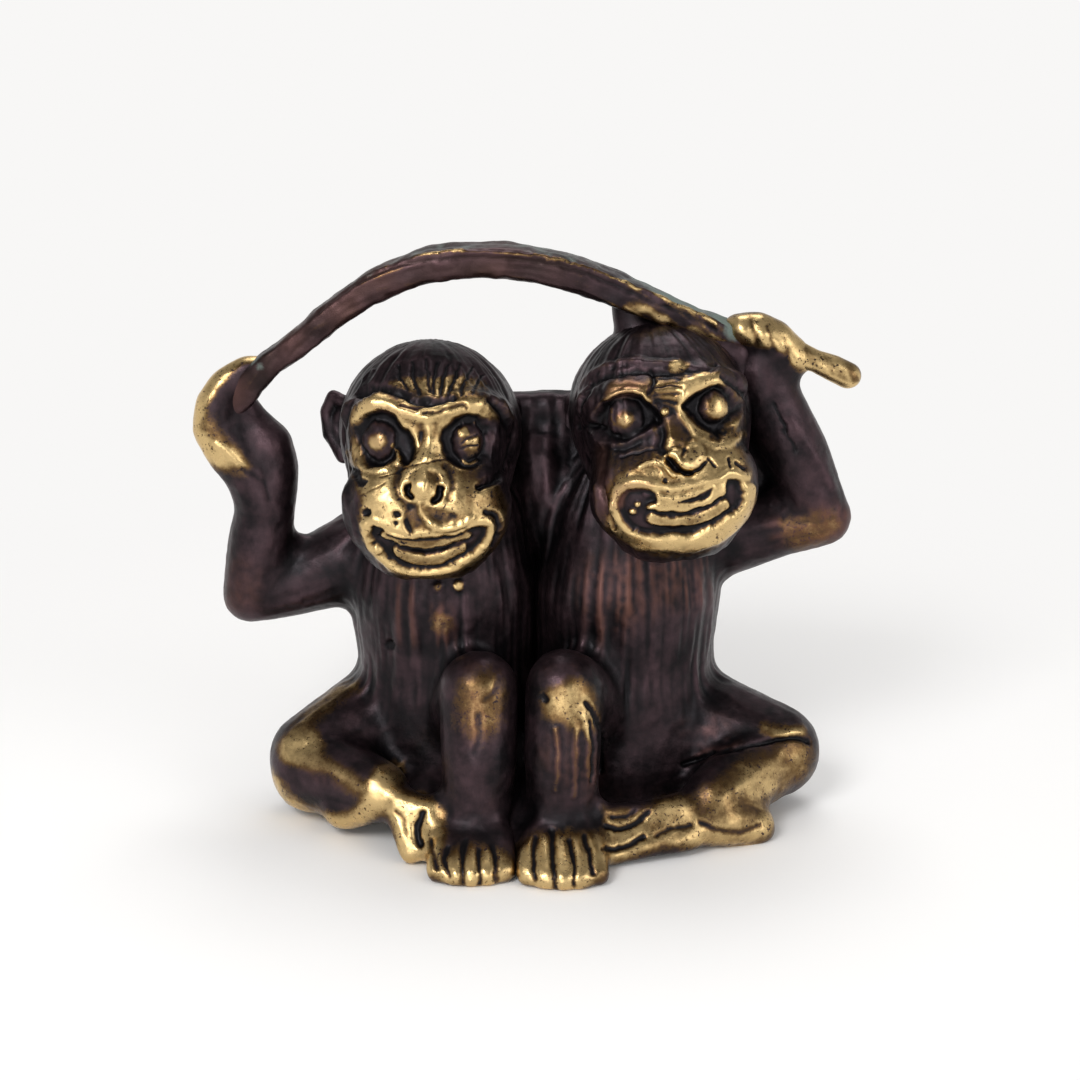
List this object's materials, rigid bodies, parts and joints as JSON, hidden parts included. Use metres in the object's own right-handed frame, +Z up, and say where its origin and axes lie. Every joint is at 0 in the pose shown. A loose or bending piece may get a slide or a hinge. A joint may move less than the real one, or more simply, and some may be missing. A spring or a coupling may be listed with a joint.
{
  "type": "monkey figurine",
  "caption": "Cast brass figurine of seated monkeys side by side, holding one arched leaf over their heads.",
  "frame": {"origin": "on the flat base, at floor level, under the left torso and 0.7 mm left of the seam between the two backs", "axes": "+X to the viewer's right along the row of monkeys, -Y out of the faces towards the viewer, +Z up"},
  "size_m": [0.0676, 0.0389, 0.0593],
  "materials": {
    "dark_patina": "cast brass under a chocolate-brown to near-black patina, brass rubbed through on raised forms",
    "burnished_brass": "cast brass face rubbed bright, dark patina left in the hollows and on the fur round it",
    "worn_brass": "cast brass rubbed half bright on fingers and toes, brown between them",
    "leaf_patina": "brown patina on the edge, grey-green verdigris on the upper side"
  },
  "bodies": {
    "root": {"left_torso": "dark_patina", "right_torso": "dark_patina", "left_head": "burnished_brass", "right_head": "burnished_brass", "left_upper_arm": "dark_patina", "right_upper_arm": "dark_patina", "left_forearm": "dark_patina", "right_forearm": "dark_patina", "left_hand": "worn_brass", "right_hand": "worn_brass", "left_inner_arm": "dark_patina", "right_inner_arm": "dark_patina", "left_outer_thigh": "dark_patina", "right_outer_thigh": "dark_patina", "left_outer_shin": "dark_patina", "right_outer_shin": "dark_patina", "left_outer_foot": "worn_brass", "right_outer_foot": "worn_brass", "left_inner_thigh": "dark_patina", "right_inner_thigh": "dark_patina", "left_inner_shin": "dark_patina", "right_inner_shin": "dark_patina", "left_inner_foot": "worn_brass", "right_inner_foot": "worn_brass", "leaf": "leaf_patina", "leaf_stalk": "worn_brass", "leaf_rest": "dark_patina"}
  },
  "joints": []
}
